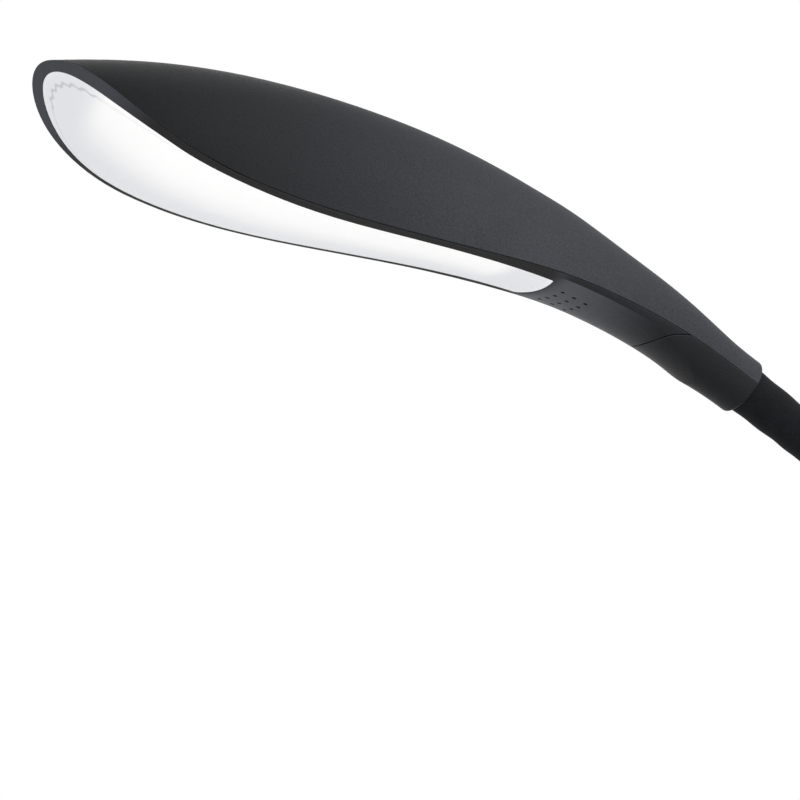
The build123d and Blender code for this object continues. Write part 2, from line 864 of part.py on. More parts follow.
with BuildPart() as weight_plate:
    with BuildSketch(Plane.XY.offset(bottom_top)):
        base_outline(-base_wall - weight_clearance)
        with GridLocations(*base_screw_spread, 2, 2):
            Circle(post_diameter / 2 + weight_clearance, mode=Mode.SUBTRACT)
        with Locations((base_length / 2, 0)):
            Rectangle(
                2 * (inlet_recess + inlet_length + weight_clearance),
                inlet_width + 2 * weight_clearance,
                mode=Mode.SUBTRACT,
            )
    extrude(amount=weight_thickness)

with BuildPart() as neck_socket:
    with BuildSketch(Plane.XY.offset(weight_top)):
        with Locations(neck_place):
            Circle(socket_radius + socket_flange_width)
    extrude(amount=socket_flange_thickness)
    with BuildSketch(Plane.XY.offset(weight_top)):
        with Locations(neck_place):
            Circle(socket_radius)
    extrude(amount=neck_start - weight_top)
    with BuildSketch(Plane.XY.offset(neck_start)):
        with Locations(neck_place):
            Circle(sleeve_radius + neck_fit)
    extrude(amount=-root_depth - seat_clearance, mode=Mode.SUBTRACT)
    with BuildSketch(Plane.XY.offset(neck_start)):
        with Locations(neck_place):
            Circle(lead_slot_width / 2)
    extrude(amount=-(neck_start - weight_top - socket_flange_thickness), mode=Mode.SUBTRACT)
    with BuildSketch(Plane.XY.offset(weight_top + socket_flange_thickness)):
        with Locations((neck_offset - socket_radius, 0)):
            Rectangle(2 * socket_radius, lead_slot_width)
    extrude(amount=lead_slot_height, mode=Mode.SUBTRACT)

socket_top_edge = neck_socket.edges().group_by(Axis.Z)[-1].sort_by(SortBy.LENGTH)[-1]
with neck_socket:
    chamfer(socket_top_edge, socket_edge)

with BuildPart() as socket_screws:
    with BuildSketch(Plane.XY.offset(bottom_top)):
        with Locations(neck_place):
            with PolarLocations(socket_screw_ring, 3, 60):
                Circle(base_head_diameter / 2)
    extrude(amount=base_head_height)
    with BuildSketch(Plane.XY.offset(bottom_top)):
        with Locations(neck_place):
            with PolarLocations(socket_screw_ring, 3, 60):
                Circle(base_screw_diameter / 2)
    extrude(amount=weight_thickness + socket_flange_thickness - seat_clearance)

with weight_plate:
    add(socket_screws.part, mode=Mode.SUBTRACT)

with neck_socket:
    add(socket_screws.part, mode=Mode.SUBTRACT)

# Power button: a cap with a retaining flange and a plunger into the switch.
flange_top = ceiling - button_seat_gap
with BuildPart() as power_button:
    with BuildSketch(Plane.XY.offset(flange_top)):
        with Locations(button_place):
            Circle(button_diameter / 2)
    extrude(amount=base_height + button_stand - flange_top)
    chamfer(power_button.edges().group_by(Axis.Z)[-1], button_edge)
    with BuildSketch(Plane.XY.offset(flange_top)):
        with Locations(button_place):
            Circle(button_diameter / 2 + button_flange_width)
    extrude(amount=-button_flange_thickness)
    with BuildSketch(Plane.XY.offset(flange_top)):
        with Locations(button_place):
            Circle(plunger_diameter / 2)
    extrude(amount=-(flange_top - switch_top + plunger_depth))

with BuildPart() as switch_body:
    with BuildSketch(Plane.XY.offset(switch_board_top)):
        with Locations(button_place):
            Rectangle(switch_width, switch_width)
    extrude(amount=switch_height)
    with BuildSketch(Plane.XY.offset(switch_top)):
        with Locations(button_place):
            Circle(plunger_diameter / 2 + button_clearance)
    extrude(amount=-(plunger_depth + button_travel + button_clearance), mode=Mode.SUBTRACT)

with BuildPart() as switch_board:
    with BuildSketch(Plane.XY.offset(board_bottom)):
        with Locations(button_place):
            Rectangle(switch_board_length, switch_board_width)
    extrude(amount=board_thickness)

with BuildPart() as driver_board:
    with BuildSketch(Plane.XY.offset(board_bottom)):
        with Locations(board_middle):
            Rectangle(board_length, board_width)
            with GridLocations(*corner_spread, 2, 2):
                Circle(spacer_bore / 2, mode=Mode.SUBTRACT)
    extrude(amount=board_thickness)

with BuildPart() as board_spacers:
    with BuildSketch(Plane.XY.offset(weight_top)):
        with Locations(board_middle):
            with GridLocations(*corner_spread, 2, 2):
                Circle(spacer_diameter / 2)
        with Locations(button_place):
            with GridLocations(switch_board_length - spacer_diameter, 1, 2, 1):
                Circle(spacer_diameter / 2)
    extrude(amount=spacer_height)

with BuildPart() as driver_parts:
    for x, y, length, width, height in driver_sizes:
        with BuildSketch(Plane.XY.offset(switch_board_top)):
            with Locations((board_offset + x, y)):
                Rectangle(length, width)
        extrude(amount=height)
    for x, y, diameter, height in driver_cans:
        with BuildSketch(Plane.XY.offset(switch_board_top)):
            with Locations((board_offset + x, y)):
                Circle(diameter / 2)
        extrude(amount=height)

with BuildPart() as dc_inlet:
    with BuildSketch(inlet_plane):
        Rectangle(inlet_width, 2 * (inlet_height - bottom_top))
    extrude(amount=-inlet_length)
    with BuildSketch(inlet_plane):
        Circle(inlet_opening / 2 - seat_clearance)
    extrude(amount=inlet_recess / 2)
    with BuildSketch(inlet_plane.offset(inlet_recess / 2)):
        Circle(inlet_bore / 2)
        Circle(inlet_pin / 2, mode=Mode.SUBTRACT)
    extrude(amount=-inlet_depth, mode=Mode.SUBTRACT)

lead_floor = weight_top + socket_flange_thickness + lead_diameter / 2 + seat_clearance
with BuildPart() as base_lead:
    with BuildLine(Plane.XZ):
        route = FilletPolyline(
            (neck_offset, neck_start - root_depth),
            (neck_offset, lead_floor),
            (board_offset + driver_connector[0] + driver_connector[2] / 2, lead_floor),
            radius=base_lead_radius,
        )
    with BuildSketch(Plane(origin=route @ 0, z_dir=route % 0)):
        Circle(lead_diameter / 2)
    sweep()


# ----------------------------------------------------------------- named pieces

pieces = {
    "base_cover": base_cover.part,
    "base_bottom": base_bottom.part,
    "base_screws": base_screws.part,
    "rubber_pad": rubber_pad.part,
    "weight_plate": weight_plate.part,
    "neck_socket": neck_socket.part,
    "socket_screws": socket_screws.part,
    "power_button": power_button.part,
    "switch_body": switch_body.part,
    "switch_board": switch_board.part,
    "driver_board": driver_board.part,
    "driver_parts": driver_parts.part,
    "board_spacers": board_spacers.part,
    "dc_inlet": dc_inlet.part,
    "base_lead": base_lead.part,
    "head_top_shell": head_top_shell.part,
    "head_lower_frame": head_lower_frame.part,
    "neck_clamp_cover": neck_clamp_cover.part,
    "diffuser": diffuser.part,
    "light_guide": light_guide.part,
    "reflector_tray": reflector_tray.part,
    "led_board": led_board.part,
    "leds": leds.part,
    "heat_spreader": heat_spreader.part,
    "board_screws": board_screws.part,
    "lead_connector": lead_connector.part,
    "head_lead": head_lead.part,
    "neck_ferrule": neck_ferrule.part,
    "ferrule_screws": ferrule_screws.part,
    "status_board": status_board.part,
    "status_screws": status_screws.part,
    "status_light_pipe": status_light_pipe.part,
}
for index in range(joint_count + 1):
    pieces[f"neck_sleeve_{index}"] = sleeves[index]
    pieces[f"neck_core_{index}"] = cores[index]
    pieces[f"neck_lead_{index}"] = leads[index]

for name, piece in pieces.items():
    piece.label = name
    export_step(piece, f"parts/{name}.step")
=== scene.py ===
import json
import math

import bmesh
import bpy
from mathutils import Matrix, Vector
from mathutils.geometry import interpolate_bezier


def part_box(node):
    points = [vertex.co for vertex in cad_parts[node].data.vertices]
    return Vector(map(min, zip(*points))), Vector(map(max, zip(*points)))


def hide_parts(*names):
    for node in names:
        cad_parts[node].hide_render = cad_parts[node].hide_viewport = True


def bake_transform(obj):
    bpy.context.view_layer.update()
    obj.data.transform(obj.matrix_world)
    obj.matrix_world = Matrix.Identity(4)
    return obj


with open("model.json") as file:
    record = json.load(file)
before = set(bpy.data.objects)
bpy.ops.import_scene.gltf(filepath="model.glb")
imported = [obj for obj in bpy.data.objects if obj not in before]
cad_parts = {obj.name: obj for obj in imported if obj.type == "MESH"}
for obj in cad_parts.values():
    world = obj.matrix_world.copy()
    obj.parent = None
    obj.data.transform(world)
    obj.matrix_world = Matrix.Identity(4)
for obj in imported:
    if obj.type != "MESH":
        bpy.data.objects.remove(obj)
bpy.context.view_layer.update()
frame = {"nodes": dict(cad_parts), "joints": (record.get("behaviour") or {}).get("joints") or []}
nodes = frame["nodes"]
scene = bpy.context.scene
print("frame loaded:", len(nodes), "CAD nodes")


# helpers for node trees

def setSockets(node, values):
    for name, value in values.items():
        node.inputs[name].default_value = value


def addNode(tree, kind, place, values=None, **settings):
    node = tree.nodes.new(kind)
    node.location = place
    for name, value in settings.items():
        setattr(node, name, value)
    setSockets(node, values or {})
    return node


def newGroup(name, inputs, outputs):
    group = bpy.data.node_groups.new(name, "ShaderNodeTree")
    for label, kind, value in inputs:
        socket = group.interface.new_socket(label, in_out="INPUT", socket_type=kind)
        socket.default_value = value
    for label, kind in outputs:
        group.interface.new_socket(label, in_out="OUTPUT", socket_type=kind)
    start = addNode(group, "NodeGroupInput", (-900, 0))
    end = addNode(group, "NodeGroupOutput", (700, 0))
    return group, start, end


def newMaterial(name, shaderValues):
    material = bpy.data.materials.new(name)
    material.use_nodes = True
    tree = material.node_tree
    shader = tree.nodes["Principled BSDF"]
    setSockets(shader, shaderValues)
    return material, tree, shader


def useGroup(tree, group, place, values=None):
    node = addNode(tree, "ShaderNodeGroup", place)
    node.node_tree = group
    setSockets(node, values or {})
    return node


def addRamp(tree, source, place, low, high, start=0.0, end=1.0):
    # smooth step of a value from start to end while it goes from low to high
    node = addNode(tree, "ShaderNodeMapRange", place, {
        "From Min": low, "From Max": high, "To Min": start, "To Max": end,
    }, interpolation_type="SMOOTHSTEP")
    tree.links.new(source, node.inputs["Value"])
    return node.outputs["Result"]


def addMath(tree, operation, place, first, second=None):
    node = addNode(tree, "ShaderNodeMath", place, operation=operation)
    for slot, source in enumerate((first, second)):
        if isinstance(source, (int, float)):
            node.inputs[slot].default_value = source
        elif source is not None:
            tree.links.new(source, node.inputs[slot])
    return node.outputs[0]


def mixColors(tree, place, factor, first, second):
    node = addNode(tree, "ShaderNodeMix", place, data_type="RGBA")
    for label, source in (("Factor", factor), ("A", first), ("B", second)):
        socket = next(item for item in node.inputs if item.name == label and item.enabled)
        if isinstance(source, (int, float, tuple)):
            socket.default_value = source
        else:
            tree.links.new(source, socket)
    return next(item for item in node.outputs if item.enabled)


def splitPlace(tree, kind, height=0):
    # X, Y and Z of a point's place (Object), or of the way its surface faces (Normal)
    place = addNode(tree, "ShaderNodeTexCoord", (-1900, height))
    parts = addNode(tree, "ShaderNodeSeparateXYZ", (-1700, height))
    tree.links.new(place.outputs[kind], parts.inputs[0])
    return parts.outputs


# effects that several finishes share

finishOutputs = [
    ("Color", "NodeSocketColor"), ("Roughness", "NodeSocketFloat"), ("Height", "NodeSocketFloat"),
]
grainTones = {
    "wideRange": (0.3, 0.7),     # stretch of the slow noise that shows as drifts in tone
    "fineRange": (0.25, 0.75),   # and of the fine noise that shows as flecks
    "roughnessDrift": 0.08,
}


def makeMouldGrain():
    # fine spark-eroded texture of a moulded part, with slow drifts in tone
    group, start, end = newGroup(
        "mouldGrain",
        [
            ("Grain Size", "NodeSocketFloat", 2200.0),
            ("Drift Size", "NodeSocketFloat", 14.0),
            ("Dark", "NodeSocketColor", (0.02, 0.02, 0.02, 1)),
            ("Light", "NodeSocketColor", (0.04, 0.04, 0.04, 1)),
            ("Fleck", "NodeSocketFloat", 0.3),
            ("Roughness", "NodeSocketFloat", 0.5),
            ("Roughness Drift", "NodeSocketFloat", grainTones["roughnessDrift"]),
        ],
        finishOutputs,
    )
    link = group.links.new
    place = addNode(group, "ShaderNodeTexCoord", (-900, -300))
    grain = addNode(group, "ShaderNodeTexVoronoi", (-600, -200), feature="SMOOTH_F1")
    speck = addNode(group, "ShaderNodeTexNoise", (-600, -500), {"Detail": 3.0})
    drift = addNode(group, "ShaderNodeTexNoise", (-600, 150), {"Detail": 4.0, "Roughness": 0.6})
    for texture in (grain, speck, drift):
        link(place.outputs["Object"], texture.inputs["Vector"])
    link(start.outputs["Grain Size"], grain.inputs["Scale"])
    link(start.outputs["Grain Size"], speck.inputs["Scale"])
    link(start.outputs["Drift Size"], drift.inputs["Scale"])
    wide = addRamp(group, drift.outputs["Fac"], (-300, 50), *grainTones["wideRange"])
    fine = addRamp(group, speck.outputs["Fac"], (-300, -500), *grainTones["fineRange"])
    tone = mixColors(group, (-100, 200), start.outputs["Fleck"], wide, fine)
    color = mixColors(group, (150, 200), tone, start.outputs["Dark"], start.outputs["Light"])
    spread = addMath(group, "MULTIPLY", (-100, -100), wide, start.outputs["Roughness Drift"])
    rough = addMath(group, "ADD", (100, -100), spread, start.outputs["Roughness"])
    height = addMath(group, "ADD", (-100, -300), grain.outputs["Distance"], speck.outputs["Fac"])
    link(color, end.inputs["Color"])
    link(rough, end.inputs["Roughness"])
    link(height, end.inputs["Height"])
    return group


edgeTones = {
    "turnRange": (0.99, 0.80),   # how alike true and softened normals are, off an edge and on it
    "breakSize": 90.0,
    "breakRange": (0.2, 0.6),    # stretch of the noise that breaks the line up
    "faintest": 0.6,
}


def makeEdgeLine():
    # mask of the sharp edges, where a moulding is polished by hands and by its tool, and where an
    # edge gets a painted highlight
    group, start, end = newGroup(
        "edgeLine",
        [
            ("Width", "NodeSocketFloat", 0.0004),
            ("Breaks", "NodeSocketFloat", edgeTones["breakSize"]),
            ("Amount", "NodeSocketFloat", 1.0),
        ],
        [("Mask", "NodeSocketFloat")],
    )
    link = group.links.new
    rounded = addNode(group, "ShaderNodeBevel", (-600, 100), samples=6)
    surface = addNode(group, "ShaderNodeNewGeometry", (-600, -100))
    place = addNode(group, "ShaderNodeTexCoord", (-800, -300))
    breaks = addNode(group, "ShaderNodeTexNoise", (-600, -350), {"Detail": 2.0})
    turn = addNode(group, "ShaderNodeVectorMath", (-400, 50), operation="DOT_PRODUCT")
    link(start.outputs["Width"], rounded.inputs["Radius"])
    link(place.outputs["Object"], breaks.inputs["Vector"])
    link(start.outputs["Breaks"], breaks.inputs["Scale"])
    link(rounded.outputs["Normal"], turn.inputs[0])
    link(surface.outputs["Normal"], turn.inputs[1])
    sharp = addRamp(group, turn.outputs["Value"], (-200, 50), *edgeTones["turnRange"])
    low, high = edgeTones["breakRange"]
    faintest = edgeTones["faintest"]
    patch = addRamp(group, breaks.outputs["Fac"], (-200, -300), low, high, faintest, 1.0)
    whole = addMath(group, "MULTIPLY", (50, 0), sharp, patch)
    mask = addMath(group, "MULTIPLY", (250, 0), whole, start.outputs["Amount"])
    link(mask, end.inputs["Mask"])
    return group


markTones = {
    "tarnishSize": 60.0,
    "markShare": 0.4,            # of the marks in the tone, the rest is tarnish
    "roughnessSpread": 0.2,
}


def makeToolMarks():
    # long fine scratches of a drawn or brushed metal, with a slow tarnish over them
    group, start, end = newGroup(
        "toolMarks",
        [
            ("Mark Size", "NodeSocketFloat", 900.0),
            ("Stretch", "NodeSocketVector", (0.05, 1.0, 1.0)),
            ("Dark", "NodeSocketColor", (0.4, 0.4, 0.4, 1)),
            ("Light", "NodeSocketColor", (0.6, 0.6, 0.6, 1)),
            ("Roughness", "NodeSocketFloat", 0.35),
        ],
        finishOutputs,
    )
    link = group.links.new
    place = addNode(group, "ShaderNodeTexCoord", (-900, -300))
    pull = addNode(group, "ShaderNodeVectorMath", (-700, -200), operation="MULTIPLY")
    marks = addNode(group, "ShaderNodeTexNoise", (-500, -200), {"Detail": 4.0})
    tarnish = addNode(group, "ShaderNodeTexNoise", (-500, 150), {
        "Scale": markTones["tarnishSize"], "Detail": 3.0,
    })
    link(place.outputs["Object"], pull.inputs[0])
    link(start.outputs["Stretch"], pull.inputs[1])
    link(pull.outputs["Vector"], marks.inputs["Vector"])
    link(start.outputs["Mark Size"], marks.inputs["Scale"])
    link(place.outputs["Object"], tarnish.inputs["Vector"])
    share = markTones["markShare"]
    tone = mixColors(group, (-250, 100), share, tarnish.outputs["Fac"], marks.outputs["Fac"])
    color = mixColors(group, (0, 200), tone, start.outputs["Dark"], start.outputs["Light"])
    spread = addMath(
        group, "MULTIPLY", (-250, -100), marks.outputs["Fac"], markTones["roughnessSpread"])
    rough = addMath(group, "ADD", (0, -100), spread, start.outputs["Roughness"])
    link(color, end.inputs["Color"])
    link(rough, end.inputs["Roughness"])
    link(marks.outputs["Fac"], end.inputs["Height"])
    return group


mouldGrain = makeMouldGrain()
edgeLine = makeEdgeLine()
toolMarks = makeToolMarks()
print("shared effects made")


# finishes

reliefDepth = 0.0002    # metres from the lowest grain to the highest


def addRelief(tree, shader, height, look):
    # bump from the grain over edges softened by their moulding radius
    bump = addNode(tree, "ShaderNodeBump", (-250, -200), {
        "Strength": look["bump"], "Distance": reliefDepth,
    })
    edge = addNode(tree, "ShaderNodeBevel", (-450, -350), {"Radius": look["edge"]}, samples=4)
    tree.links.new(height, bump.inputs["Height"])
    tree.links.new(edge.outputs["Normal"], bump.inputs["Normal"])
    tree.links.new(bump.outputs["Normal"], shader.inputs["Normal"])


def addGrain(tree, look):
    return useGroup(tree, mouldGrain, (-900, 0), {
        "Grain Size": look["grainSize"],
        "Drift Size": look["driftSize"],
        "Dark": look["dark"],
        "Light": look["light"],
        "Fleck": look["fleck"],
        "Roughness": look["roughness"],
    })


def finishPlastic(tree, shader, look, grain, color, rough):
    # polished edges with a painted highlight over the colour, and everything into the shader
    wornAndLit = useGroup(tree, edgeLine, (-900, 500), {"Width": look["edge"], "Amount": look["wearAndSheen"]})
    color = mixColors(tree, (-250, 300), wornAndLit.outputs["Mask"], color, look["wornAndLitTone"])
    tree.links.new(color, shader.inputs["Base Color"])
    tree.links.new(rough, shader.inputs["Roughness"])
    addRelief(tree, shader, grain.outputs["Height"], look)


def grainedPlastic(name, look):
    material, tree, shader = newMaterial(name, {"Specular IOR Level": look["specular"]})
    grain = addGrain(tree, look)
    finishPlastic(tree, shader, look, grain, grain.outputs["Color"], grain.outputs["Roughness"])
    return material


def paintedLightShell(name, look):
    # painted light: the shell's colour turns paler towards the collar, standing in for the light on
    # that side, and keeps that paler tone on the base
    material, tree, shader = newMaterial(name, {"Specular IOR Level": look["specular"]})
    grain = addGrain(tree, look)
    alongX = splitPlace(tree, "Object")["X"]
    low, high = look["paintedLightFade"]
    # painted light: the colour is scaled up from the nose to the collar
    lightGain = addRamp(tree, alongX, (-1400, 300), low, high, 1.0, look["paintedLightGain"])
    litShell = addNode(tree, "ShaderNodeVectorMath", (-700, 300), operation="SCALE")
    tree.links.new(grain.outputs["Color"], litShell.inputs[0])
    tree.links.new(lightGain, litShell.inputs["Scale"])
    finishPlastic(tree, shader, look, grain, litShell.outputs["Vector"], grain.outputs["Roughness"])
    return material


def toolMarkedMetal(name, look):
    material, tree, shader = newMaterial(name, {"Metallic": look["metallic"]})
    marks = useGroup(tree, toolMarks, (-700, 0), {
        "Mark Size": look["markSize"],
        "Stretch": look["stretch"],
        "Dark": look["dark"],
        "Light": look["light"],
        "Roughness": look["roughness"],
    })
    tree.links.new(marks.outputs["Color"], shader.inputs["Base Color"])
    tree.links.new(marks.outputs["Roughness"], shader.inputs["Roughness"])
    addRelief(tree, shader, marks.outputs["Height"], look)
    return material


shellLook = {
    "dark": (0.0042, 0.0046, 0.0056, 1),
    "light": (0.0104, 0.0111, 0.0128, 1),
    # edge wear with a painted highlight
    "wornAndLitTone": (0.065, 0.068, 0.074, 1),
    "wearAndSheen": 0.5,
    "fleck": 0.58,
    "roughness": 0.52,
    "specular": 0.12,
    "grainSize": 2100.0,
    "driftSize": 16.0,
    "bump": 0.3,
    "edge": 0.0004,
    "paintedLightFade": (-0.305, -0.190),    # where along X the painted light turns the plastic paler
    "paintedLightGain": 4.6,                 # and by how much
}
sleeveLook = {
    **shellLook,
    "dark": (0.0036, 0.0040, 0.0050, 1),
    "light": (0.0088, 0.0094, 0.0112, 1),
    "wearAndSheen": 0.0,
    "fleck": 0.35,
    "roughness": 0.62,
    "specular": 0.08,
    "grainSize": 1500.0,
    "driftSize": 170.0,
    "bump": 0.22,
    "edge": 0.0005,
}
padLook = {**sleeveLook, "roughness": 0.78, "bump": 0.4, "grainSize": 900.0}
socketLook = {**shellLook, "specular": 0.5, "roughness": 0.34, "grainSize": 3800.0, "bump": 0.12}
buttonLook = {
    **shellLook,
    "dark": (0.010, 0.010, 0.011, 1),
    "light": (0.016, 0.016, 0.018, 1),
    "roughness": 0.44,
    "edge": 0.0006,
}
trayLook = {
    **shellLook,
    "dark": (0.82, 0.82, 0.81, 1),
    "light": (0.87, 0.87, 0.86, 1),
    "wearAndSheen": 0.0,
    "bump": 0.1,
}
guideLook = {
    **trayLook,
    "dark": (0.80, 0.82, 0.84, 1),
    "light": (0.88, 0.89, 0.90, 1),
    "roughness": 0.18,
    "specular": 0.5,
    "bump": 0.02,
}
boardLook = {
    **trayLook,
    "dark": (0.74, 0.77, 0.74, 1),
    "light": (0.80, 0.82, 0.79, 1),
    "roughness": 0.35,
    "specular": 0.5,
    "bump": 0.05,
}
chipLook = {
    **trayLook,
    "dark": (0.80, 0.56, 0.08, 1),
    "light": (0.90, 0.68, 0.14, 1),
    "grainSize": 5000.0,
    "roughness": 0.4,
}
componentLook = {**buttonLook, "roughness": 0.38, "specular": 0.5, "wearAndSheen": 0.2}
leadLook = {**sleeveLook, "roughness": 0.42, "bump": 0.1}
steelLook = {
    "dark": (0.33, 0.33, 0.33, 1),
    "light": (0.58, 0.58, 0.57, 1),
    "metallic": 1.0,
    "roughness": 0.28,
    "markSize": 1400.0,
    "stretch": (1.0, 1.0, 0.06),
    "bump": 0.1,
    "edge": 0.0002,
}
aluminiumLook = {
    **steelLook,
    "dark": (0.56, 0.57, 0.58, 1),
    "light": (0.74, 0.75, 0.76, 1),
    "stretch": (0.05, 1.0, 1.0),
    "roughness": 0.36,
}
ironLook = {
    **steelLook,
    "dark": (0.030, 0.030, 0.031, 1),
    "light": (0.075, 0.074, 0.072, 1),
    "metallic": 0.6,
    "stretch": (1.0, 1.0, 1.0),
    "roughness": 0.62,
    "markSize": 500.0,
    "bump": 0.7,
}

shellPlastic = paintedLightShell("charcoalShellPaintedLight", shellLook)
sleeveRubber = grainedPlastic("sleeveRubber", sleeveLook)
padRubber = grainedPlastic("padRubber", padLook)
socketPaint = grainedPlastic("socketPaint", socketLook)
buttonPlastic = grainedPlastic("buttonPlastic", buttonLook)
trayPlastic = grainedPlastic("trayPlastic", trayLook)
guideAcrylic = grainedPlastic("guideAcrylic", guideLook)
boardMask = grainedPlastic("boardMask", boardLook)
chipPhosphor = grainedPlastic("chipPhosphor", chipLook)
componentPlastic = grainedPlastic("componentPlastic", componentLook)
leadSheath = grainedPlastic("leadSheath", leadLook)
drawnSteel = toolMarkedMetal("drawnSteel", steelLook)
milledAluminium = toolMarkedMetal("milledAluminium", aluminiumLook)
castIron = toolMarkedMetal("castIron", ironLook)


# the opening under the head, in plan

lensLow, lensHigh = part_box("diffuser")
opening = {
    "flange": 0.0018,          # the diffuser's hidden rim beyond the opening
    "noseLength": 0.0250,
    "noseHalfWidth": 0.0258,
    "rearHalfWidth": 0.0115,
}
opening["noseX"] = lensLow.x + opening["flange"]
opening["rearX"] = lensHigh.x - opening["flange"]
opening["noseCentreX"] = opening["noseX"] + opening["noseLength"]


lowerLook = {
    **shellLook,
    "dark": (0.046, 0.051, 0.061, 1),
    "light": (0.060, 0.066, 0.078, 1),
    "roughness": 0.44,
    "specular": 0.16,
    # painted shade on the lip beside the diffuser
    "lipShadeTone": (0.0145, 0.0140, 0.0140, 1),
    "lipRoughness": 0.75,
    "lipFade": (-0.004, 0.003),      # from the diffuser's rear end, where the lip's painted shade and its matt finish fade
    "noseTone": (0.052, 0.056, 0.066, 1),
    "noseFade": (0.004, 0.018),      # from the nose, where its lighter tone fades
    # painted shade towards the collar and on the up-turned sides
    "rearShadeTone": (0.0066, 0.0071, 0.0086, 1),
    "rearShadeFade": (-0.184, -0.150),    # painted shade: from the vents to the collar the moulding is painted darker
    "sideShadeFade": (-0.96, -0.70),      # and painted shade where it turns up to the parting line, away from the light below
}


def lowerPlastic(name, look):
    # the lower moulding: painted shade on the lip beside the diffuser, a paler nose, and painted
    # shade towards the collar and on the sides that turn up
    material, tree, shader = newMaterial(name, {"Specular IOR Level": look["specular"]})
    grain = addGrain(tree, look)
    alongX = splitPlace(tree, "Object")["X"]
    facingZ = splitPlace(tree, "Normal", -300)["Z"]
    low, high = (opening["rearX"] + fade for fade in look["lipFade"])
    lip = addRamp(tree, alongX, (-1400, 300), low, high, 1.0, 0.0)
    low, high = (opening["noseX"] + fade for fade in look["noseFade"])
    tip = addRamp(tree, alongX, (-1400, 100), low, high, 1.0, 0.0)
    back = addRamp(tree, alongX, (-1400, -100), *look["rearShadeFade"])
    side = addRamp(tree, facingZ, (-1400, -300), *look["sideShadeFade"])
    behindLip = addMath(tree, "SUBTRACT", (-1200, -200), 1.0, lip)
    upper = addMath(tree, "MULTIPLY", (-1000, -200), side, behindLip)
    # painted shade: darker towards the collar, and on faces that turn from straight down, behind
    # the lip
    paintedShade = addMath(tree, "MAXIMUM", (-850, -200), upper, back)
    # painted shade on the lip
    color = mixColors(tree, (-700, 300), lip, grain.outputs["Color"], look["lipShadeTone"])
    color = mixColors(tree, (-550, 300), tip, color, look["noseTone"])
    color = mixColors(tree, (-400, 300), paintedShade, color, look["rearShadeTone"])
    matt = addMath(tree, "MULTIPLY", (-700, 0), lip, look["lipRoughness"] - look["roughness"])
    rough = addMath(tree, "ADD", (-550, 0), matt, grain.outputs["Roughness"])
    finishPlastic(tree, shader, look, grain, color, rough)
    return material


lensLook = {
    # painted highlight tone of the band, and the painted shade beside it
    "highlightTone": (0.945, 0.94, 0.94, 1),
    "shade": (0.83, 0.842, 0.868, 1),
    # painted highlight along the diffuser's rim
    "rim": (0.99, 0.99, 1.0, 1),
    # painted shadow of the guide's notched edge
    "toothShadow": (0.56, 0.57, 0.60, 1),
    "roughness": 0.32,
    "roughnessDrift": 0.1,
    "specular": 0.35,
    "paintedGlow": (1.0, 0.985, 0.97, 1),   # painted glow along the band, added to its painted highlight
    # faint painted glow over the rest of the diffuser
    "faintPaintedGlow": (0.30, 0.31, 0.33, 1),
    "paintedGlowStrength": 0.155,
    "acrossFade": (-0.45, 0.75),     # where the painted highlight fades, in shares of the half width, from the near side to the far one
    "noseFade": (0.0050, 0.0110),    # from the nose
    "noseSkew": 0.17,                # the band reaches further forward on the near side
    "rearShadeFade": (0.0115, 0.0175),    # from the rear end
    "cloudSize": 38.0,
    "waver": 0.16,                   # how far the clouds push the band about
    "borderInset": 0.0006,           # the light guide's edge, painted as the shadow it shows through the diffuser
    "borderRange": (0.00012, 0.00048),   # from the edge's middle, where its line fades
    "borderStart": (-0.002, 0.004),  # from the middle of the nose, where the line sets in
    "borderShare": (0.35, 0.9),      # how strong it is, plain and notched
    "toothDepth": 0.00028,
    "toothCount": 36.0,              # if they went all the way round
    "toothArc": (-0.75, 0.62),       # where the guide is notched, from the nose in radians
    "toothFade": 0.2,
    "rimHighlightWidth": 0.0034,
    "bump": 0.04,
    "edge": 0.0004,
    "grainSize": 3200.0,
}


